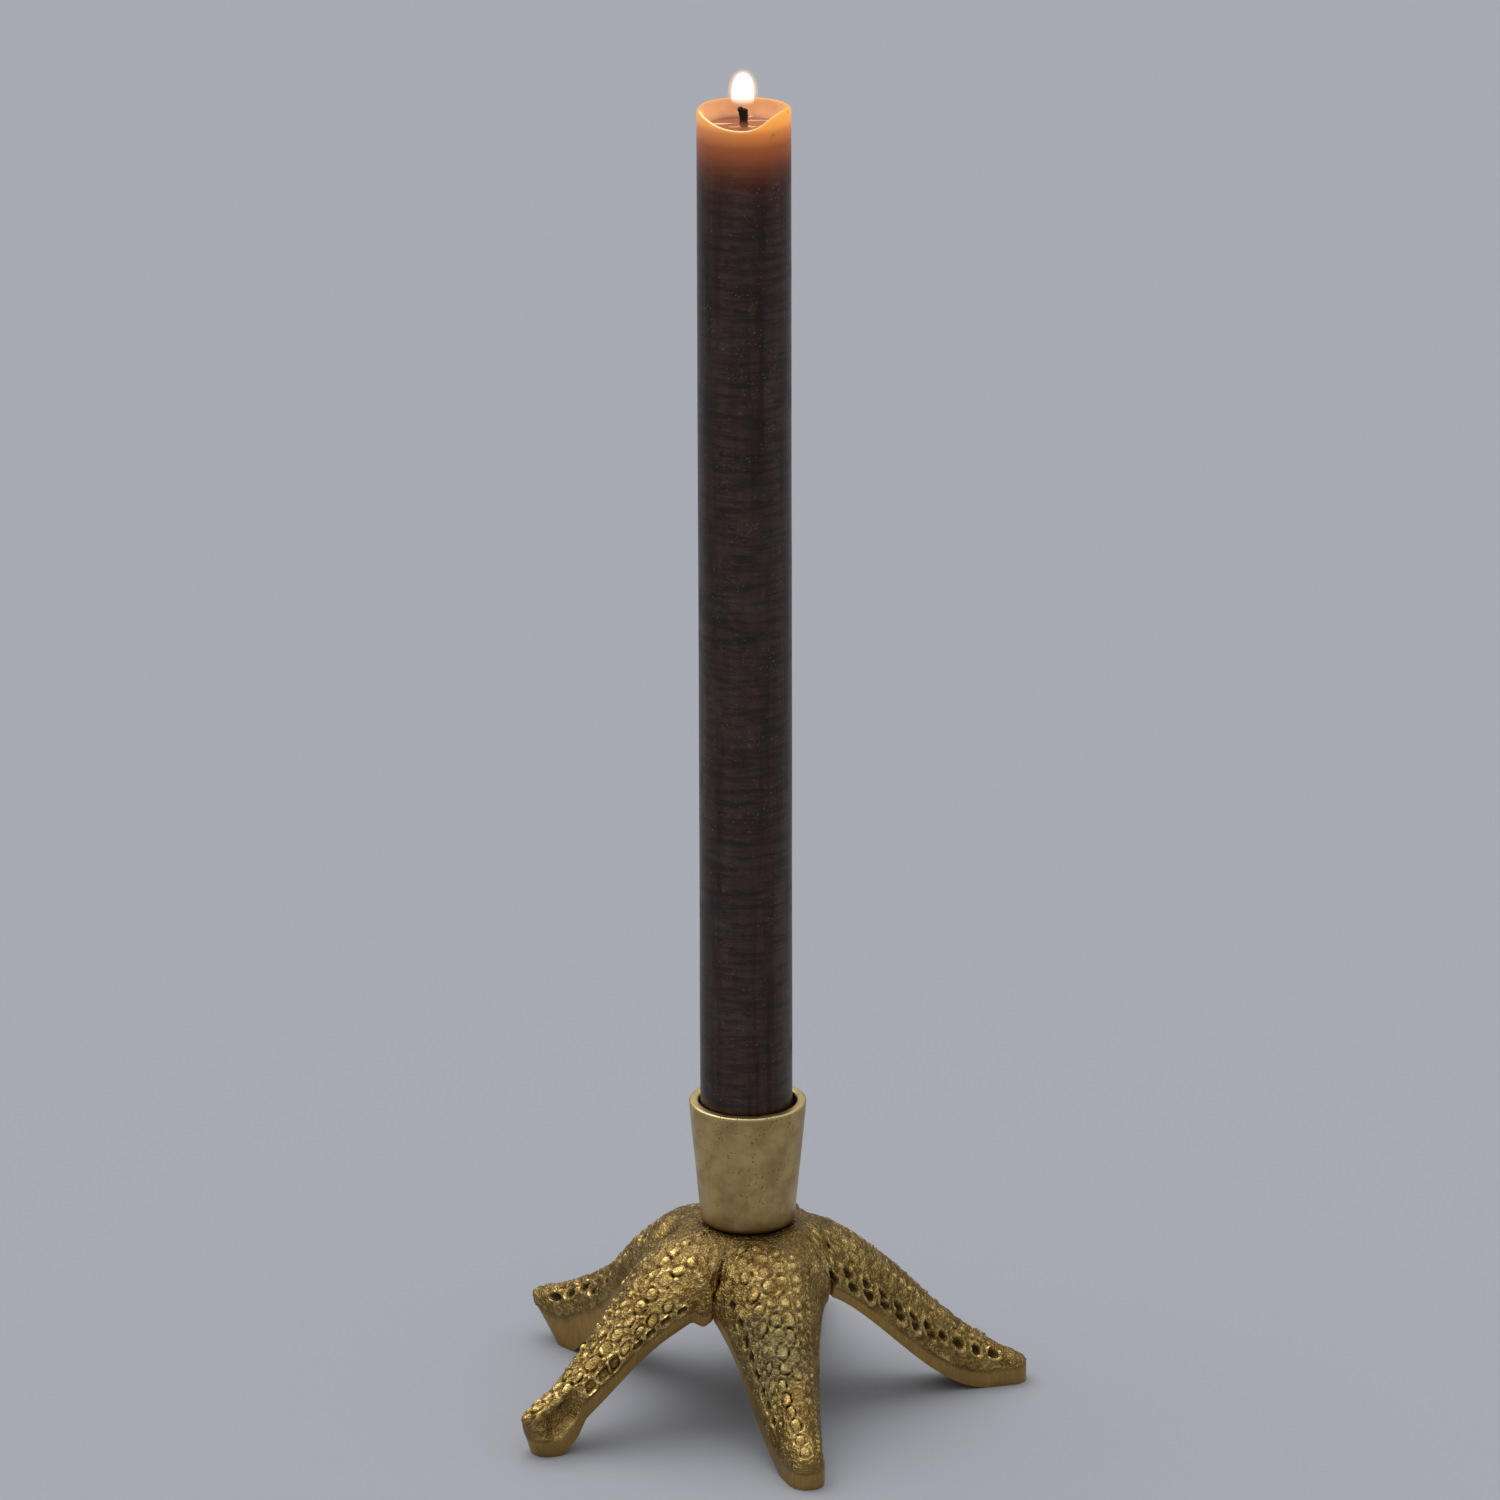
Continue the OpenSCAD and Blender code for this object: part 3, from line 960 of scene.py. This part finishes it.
def green_area(paint):
    """A ragged round patch on the middle of the front arm's left side."""
    away = paint.node("VectorMath", {0: paint.where(), 1: PATINA_AT}, operation="DISTANCE")
    ragged = paint.times(paint.minus(paint.noise(420.0, 3, 0.6), 0.5), 0.012)
    return paint.mask(paint.plus(away.outputs["Value"], ragged), 0.0155, 0.0050)


def worn_cast_brass():
    made, paint, shader = material("worn_cast_brass")
    raised, hollow, ground = (paint.attribute(name) for name in ("raised", "hollow", "ground"))
    patches = paint.use(TARNISH, Scale=170.0, Low=0.36, High=0.64)["Mask"]
    streaks = paint.use(STREAKS, Scale=2300.0, Low=0.30, High=0.70)["Mask"]
    crumbs = paint.use(CRUMBS, Scale=1000.0)["Height"]
    speckle = paint.noise(1700.0, 2, 0.6)
    rubbed = paint.mask(paint.plus(raised, paint.times(paint.minus(speckle, 0.5), 0.6)), 0.0, 0.75)
    green = green_area(paint)
    cast = paint.blend(rubbed, paint.blend(patches, *OLD_BRASS), paint.blend(patches, *RUBBED_BRASS))
    # painted shade: the casting darkened round the foot of the cup
    cast = paint.blend(paint.times(paint.attribute("cup_shade"), 0.62), cast, CUP_SHADE_BRASS)
    cast = paint.blend(paint.times(green, 0.55), cast, GREEN_PATINA)
    cast = paint.blend(paint.mask(hollow, 0.2, 0.95), cast, PIT_BRASS)
    plain = paint.blend(streaks, *GROUND_BRASS)
    side = paint.blend(paint.mask(patches, 0.1, 1.0), paint.blend(0.35, plain, STAINED_BRASS), plain)
    paint.feed(shader["Base Color"], paint.blend(ground, cast, side))
    paint.feed(shader["Metallic"], paint.level(paint.mask(hollow, 0.3, 1.0), 1.0, 0.8))
    cast_rough = paint.level(hollow, paint.level(rubbed, 0.36, 0.23), 0.48)
    cast_rough = paint.level(green, cast_rough, 0.42)
    paint.feed(shader["Roughness"], paint.level(ground, cast_rough, paint.level(streaks, 0.44, 0.36)))
    off_ground = paint.minus(1.0, paint.times(ground, 0.97))
    off_scales = paint.minus(1.0, paint.times(paint.mask(raised, 0.25, 0.8), 0.8))
    coarse = paint.bump(paint.times(paint.times(crumbs, off_ground), off_scales), 0.00018)
    grain = paint.plus(paint.times(streaks, 0.5), paint.times(speckle, 0.5))
    paint.feed(shader["Normal"], paint.bump(grain, 0.00004, 0.8, coarse))
    return made


# Brass of the cup: dull satin with patches, small pits, a worn rim and painted shade at its foot
CUP_BRASS = ((0.41, 0.275, 0.105), (0.60, 0.43, 0.175))
CUP_STREAK = (0.33, 0.25, 0.13)
CUP_RIM = (0.70, 0.54, 0.26)
CUP_FOOT_SHADE = (0.10, 0.065, 0.03)
CUP_PIT = (0.05, 0.03, 0.012)


def satin_turned_brass():
    made, paint, shader = material("satin_turned_brass")
    patches = paint.use(TARNISH, Scale=110.0, Low=0.38, High=0.62)["Mask"]
    streaks = paint.use(STREAKS, Scale=260.0, Low=0.32, High=0.68)["Mask"]
    pits = paint.use(PITS, Scale=1250.0, Size=0.26)
    up = paint.along("Z")
    rim = paint.mask(up, (RIM_Z - 1.0) * MM, (RIM_Z - 0.1) * MM)
    # painted shade: the cup darkened at its foot, where it meets the casting
    foot = paint.mask(up, (HUB_Z + 2.2) * MM, (HUB_Z + 0.2) * MM)
    colour = paint.blend(patches, *CUP_BRASS)
    colour = paint.blend(paint.times(streaks, 0.35), colour, CUP_STREAK)
    colour = paint.blend(rim, colour, CUP_RIM)
    colour = paint.blend(paint.times(foot, 0.7), colour, CUP_FOOT_SHADE)
    colour = paint.blend(paint.times(pits["Mask"], 0.85), colour, CUP_PIT)
    paint.feed(shader["Base Color"], colour)
    paint.feed(shader["Metallic"], paint.level(pits["Mask"], 1.0, 0.6))
    paint.feed(shader["Roughness"], paint.level(patches, 0.40, 0.33))
    surface = paint.bump(pits["Height"], 0.00012)
    grain = paint.plus(paint.noise(5200.0, 3, 0.6), paint.times(streaks, 0.3))
    paint.feed(shader["Normal"], paint.bump(grain, 0.00003, 1.0, surface))
    return made


# Plating of the screw and washer
PLATE_CLEAN = (0.50, 0.50, 0.48)
PLATE_DULL = (0.36, 0.33, 0.28)
PLATE_RUST = (0.16, 0.12, 0.08)


def plated_steel():
    made, paint, shader = material("plated_steel")
    patches = paint.use(TARNISH, Scale=500.0, Low=0.4, High=0.7)["Mask"]
    pits = paint.use(PITS, Scale=1600.0, Size=0.3)
    colour = paint.blend(patches, PLATE_CLEAN, PLATE_DULL)
    paint.feed(shader["Base Color"], paint.blend(pits["Mask"], colour, PLATE_RUST))
    paint.feed(shader["Roughness"], paint.level(patches, 0.30, 0.48))
    shader["Metallic"].default_value = 1.0
    surface = paint.bump(pits["Height"], 0.00006)
    paint.feed(shader["Normal"], paint.bump(paint.noise(4200.0, 3, 0.6), 0.00003, 1.0, surface))
    return made


# Wax: dark brown with grey bands, brush marks and specks, and lit through near the flame
WAX_BODY = ((0.019, 0.0062, 0.0030), (0.052, 0.024, 0.0135))
WAX_BAND = (0.068, 0.041, 0.029)
WAX_BRUSHED = (0.009, 0.003, 0.0014)
WAX_SMUDGE = (0.085, 0.080, 0.074)
WAX_BLOTCH = (0.008, 0.0035, 0.0025)
WAX_SPECK = (0.13, 0.11, 0.095)
WAX_FLAME_LIT = (0.21, 0.075, 0.032)
WAX_POOL = (0.12, 0.045, 0.02)
# Glow that comes through the wax, by height in millimetres
GLOW_TOP = WAX_TOP + 3
GLOW_SPAN = 40
GLOW = (
    (292.0, (0, 0, 0)),
    (299.3, (0.005, 0.0008, 0.0)),
    (304.1, (0.017, 0.0028, 0.0004)),
    (308.9, (0.068, 0.013, 0.002)),
    (313.8, (0.200, 0.042, 0.006)),
    (317.2, (0.50, 0.155, 0.028)),
    (318.7, (0.78, 0.30, 0.050)),
    (322.0, (0.90, 0.43, 0.075)),
)
LEFT_TINT = (0.86, 0.98, 1.55)
GLOW_DIRT = (0.05, 0.02, 0.012)
INNER_GLOW = ((0.56, 0.25, 0.115), (0.70, 0.33, 0.15))
POOL_GLOW = ((0.16, 0.055, 0.03), (0.24, 0.09, 0.045))
RIPPLE_GLOW = (0.92, 0.50, 0.22)
LIP_GLOW = (1.0, 0.74, 0.36)


def wax_colour(paint, streaks, brushed, smudge, pool):
    bands = paint.mask(paint.noise(150.0, 2, 0.5, paint.spot((1.0, 1.0, 0.05))), 0.42, 0.62)
    blotch = paint.mask(paint.noise(330.0, 4, 0.65), 0.56, 0.70)
    specks = paint.use(PITS, Scale=900.0, Size=0.24)["Mask"]
    body = paint.blend(streaks, *WAX_BODY)
    body = paint.blend(paint.times(bands, 0.55), body, WAX_BAND)
    body = paint.blend(paint.times(paint.minus(1.0, brushed), 0.7), body, WAX_BRUSHED)
    body = paint.blend(paint.times(smudge, 0.22), body, WAX_SMUDGE)
    body = paint.blend(paint.times(blotch, 0.7), body, WAX_BLOTCH)
    body = paint.blend(paint.times(specks, 0.6), body, WAX_SPECK)
    # painted light: the top of the wax coloured warm as if lit by the flame
    flame_lit = paint.mask(paint.along("Z"), (WAX_TOP - 16) * MM, (WAX_TOP - 2) * MM)
    return paint.blend(flame_lit, body, paint.blend(pool, WAX_FLAME_LIT, WAX_POOL))


def wax_glow(paint, inside, pool):
    low = GLOW_TOP - GLOW_SPAN
    share = paint.math("DIVIDE", paint.minus(paint.along("Z"), low * MM), GLOW_SPAN * MM)
    glow = paint.ramp(share, [((z - low) / GLOW_SPAN, colour) for z, colour in GLOW])
    tinted = {0: 1.0, 6: glow, 7: LEFT_TINT}
    pinkish = paint.node("Mix", tinted, data_type="RGBA", blend_type="MULTIPLY").outputs[2]
    left = paint.mask(paint.along("X"), AXIS.x + 3 * MM, AXIS.x - 9 * MM)
    glow = paint.blend(paint.times(left, 0.8), glow, pinkish)
    dirt = paint.mask(paint.noise(520.0, 4, 0.7), 0.60, 0.70)
    glow = paint.blend(paint.times(dirt, 0.55), glow, GLOW_DIRT)
    wavy = paint.mask(paint.noise(160.0, 3, 0.5), 0.35, 0.65)
    ripples = paint.mask(paint.noise(300.0, 2, 0.5, paint.spot((0.35, 2.2, 1.0))), 0.60, 0.66)
    deep = paint.blend(ripples, paint.blend(wavy, *POOL_GLOW), RIPPLE_GLOW)
    glow = paint.blend(inside, glow, paint.blend(wavy, *INNER_GLOW))
    glow = paint.blend(pool, glow, deep)
    return paint.blend(paint.mask(paint.attribute("lip"), 0.15, 0.75), glow, LIP_GLOW)


def glowing_wax():
    made, paint, shader = material("glowing_wax")
    inside, pool = paint.attribute("inside"), paint.attribute("pool")
    streaks = paint.use(STREAKS, Scale=420.0, Low=0.38, High=0.66)["Mask"]
    brushed = paint.mask(paint.noise(620.0, 4, 0.7, paint.spot((0.14, 0.14, 1.0))), 0.40, 0.58)
    smudge = paint.use(TARNISH, Scale=95.0, Low=0.52, High=0.70)["Mask"]
    paint.feed(shader["Base Color"], wax_colour(paint, streaks, brushed, smudge, pool))
    paint.feed(shader["Emission Color"], wax_glow(paint, inside, pool))
    shader["Emission Strength"].default_value = 1.0
    paint.feed(shader["Roughness"], paint.level(inside, paint.level(smudge, 0.36, 0.55), 0.12))
    shader["Specular IOR Level"].default_value = 0.30
    marks = paint.times(paint.plus(streaks, brushed), 0.4)
    surface = paint.plus(paint.noise(900.0, 3, 0.6), marks)
    paint.feed(shader["Normal"], paint.bump(surface, 0.00006, 0.8))
    return made


# Wick: black char flecked with ash, and a red foot in the melted wax with a painted glow
CHAR = (0.012, 0.007, 0.006)
ASH = (0.09, 0.06, 0.05)
WET_CORD = (0.16, 0.05, 0.03)
WICK_FOOT_GLOW = (0.30, 0.10, 0.05)


def charred_cotton():
    made, paint, shader = material("charred_cotton")
    ash = paint.mask(paint.noise(2600.0, 3, 0.6), 0.55, 0.75)
    red = paint.mask(paint.along("Z"), (POOL_Z + 1.9) * MM, (POOL_Z + 0.3) * MM)
    paint.feed(shader["Base Color"], paint.blend(red, paint.blend(ash, CHAR, ASH), WET_CORD))
    # painted light: the wick's foot glows as if lit by the flame through the melted wax
    glow = paint.times(red, paint.plus(ash, 0.35))
    paint.feed(shader["Emission Color"], paint.blend(glow, (0, 0, 0), WICK_FOOT_GLOW))
    shader["Emission Strength"].default_value = 1.0
    paint.feed(shader["Roughness"], paint.level(red, 0.85, 0.35))
    paint.feed(shader["Normal"], paint.bump(paint.noise(3500.0, 4, 0.7), 0.00012))
    return made


FLAME_HALO = (1.0, 0.62, 0.42)
FLAME_CORE = (1.0, 0.97, 0.90)


def flame_light():
    made, paint, shader = material("flame_light")
    glow = paint.attribute("glow")
    core = paint.mask(glow, 0.6, 0.95)
    rise = paint.mask(paint.along("Z"), (WAX_TOP + 1.3) * MM, (WAX_TOP + 4.6) * MM)
    paint.feed(shader["Emission Color"], paint.blend(core, FLAME_HALO, FLAME_CORE))
    shader["Emission Strength"].default_value = 1.6
    shader["Base Color"].default_value = (0, 0, 0, 1)
    shader["Roughness"].default_value = 1.0
    shader["Specular IOR Level"].default_value = 0.0
    shown = paint.level(core, paint.times(glow, 0.35), 1.0)
    paint.feed(shader["Alpha"], paint.times(rise, shown))
    return made


dress(casting, worn_cast_brass())
dress(brass_cup, satin_turned_brass())
steel = plated_steel()
for node in ("fixing_screw", "screw_washer"):
    dress(frame["nodes"][node], steel)
dress(wax, glowing_wax())
dress(cord_end, charred_cotton())
dress(fire, flame_light())


# Floor, light and camera
FLOOR_DARK = (0.345, 0.357, 0.390)
FLOOR_PALE = (0.363, 0.375, 0.411)
WORLD_LEVEL = 0.75
SKY = (
    (0.0, (0.22, 0.22, 0.23)),
    (0.35, (0.42, 0.42, 0.43)),
    (0.62, (1.0, 1.0, 1.0)),
    (1.0, (1.15, 1.15, 1.15)),
)
SUN_LEVEL = 1.5
SUN_ANGLE = 60
SUN_AIM = (0.30, -0.35, -1.0)
CAMERA_BACK = 2.2406
CAMERA_UP = 0.9361
CAMERA_RIGHT = 0.000543
CAMERA_DOWN_TILT = 19.014
LENS = 241.05


def pale_floor():
    made, paint, shader = material("pale_floor")
    paint.feed(shader["Base Color"], paint.blend(paint.noise(900.0, 2, 0.5), FLOOR_DARK, FLOOR_PALE))
    shader["Roughness"].default_value = 0.9
    shader["Specular IOR Level"].default_value = 0.0
    return made


def floor():
    deselect()
    bpy.ops.mesh.primitive_plane_add(size=12, location=(0, 2.5, 0))
    plane = named("floor")
    bpy.ops.object.transform_apply(location=True)
    dress(plane, pale_floor())


def light():
    world = bpy.data.worlds.new("studio")
    bpy.context.scene.world = world
    world.use_nodes = True
    world.node_tree.nodes.clear()
    paint = Paint(world.node_tree)
    aim = paint.node("SeparateXYZ", {0: paint.node("TexCoord").outputs["Generated"]}).outputs["Z"]
    back = paint.node("Background", {"Color": paint.ramp(aim, SKY), "Strength": WORLD_LEVEL})
    paint.feed(paint.node("OutputWorld").inputs["Surface"], back.outputs["Background"])
    bpy.ops.object.light_add(type="SUN", location=(-0.4, 0.5, 1.5))
    sun = bpy.context.object
    sun.name = "overhead_softbox"
    sun.data.energy = SUN_LEVEL
    sun.data.angle = math.radians(SUN_ANGLE)
    sun.rotation_mode = "QUATERNION"
    sun.rotation_quaternion = Vector(SUN_AIM).to_track_quat("-Z", "Y")


def camera():
    deselect()
    stand = (AXIS.x + CAMERA_RIGHT, AXIS.y - CAMERA_BACK, CAMERA_UP)
    bpy.ops.object.camera_add(location=stand, rotation=(math.radians(90 - CAMERA_DOWN_TILT), 0, 0))
    made = bpy.context.object
    made.data.sensor_width = 36
    made.data.lens = LENS
    bpy.context.scene.camera = made


floor()
light()
camera()

bpy.context.scene.view_settings.view_transform = "Standard"
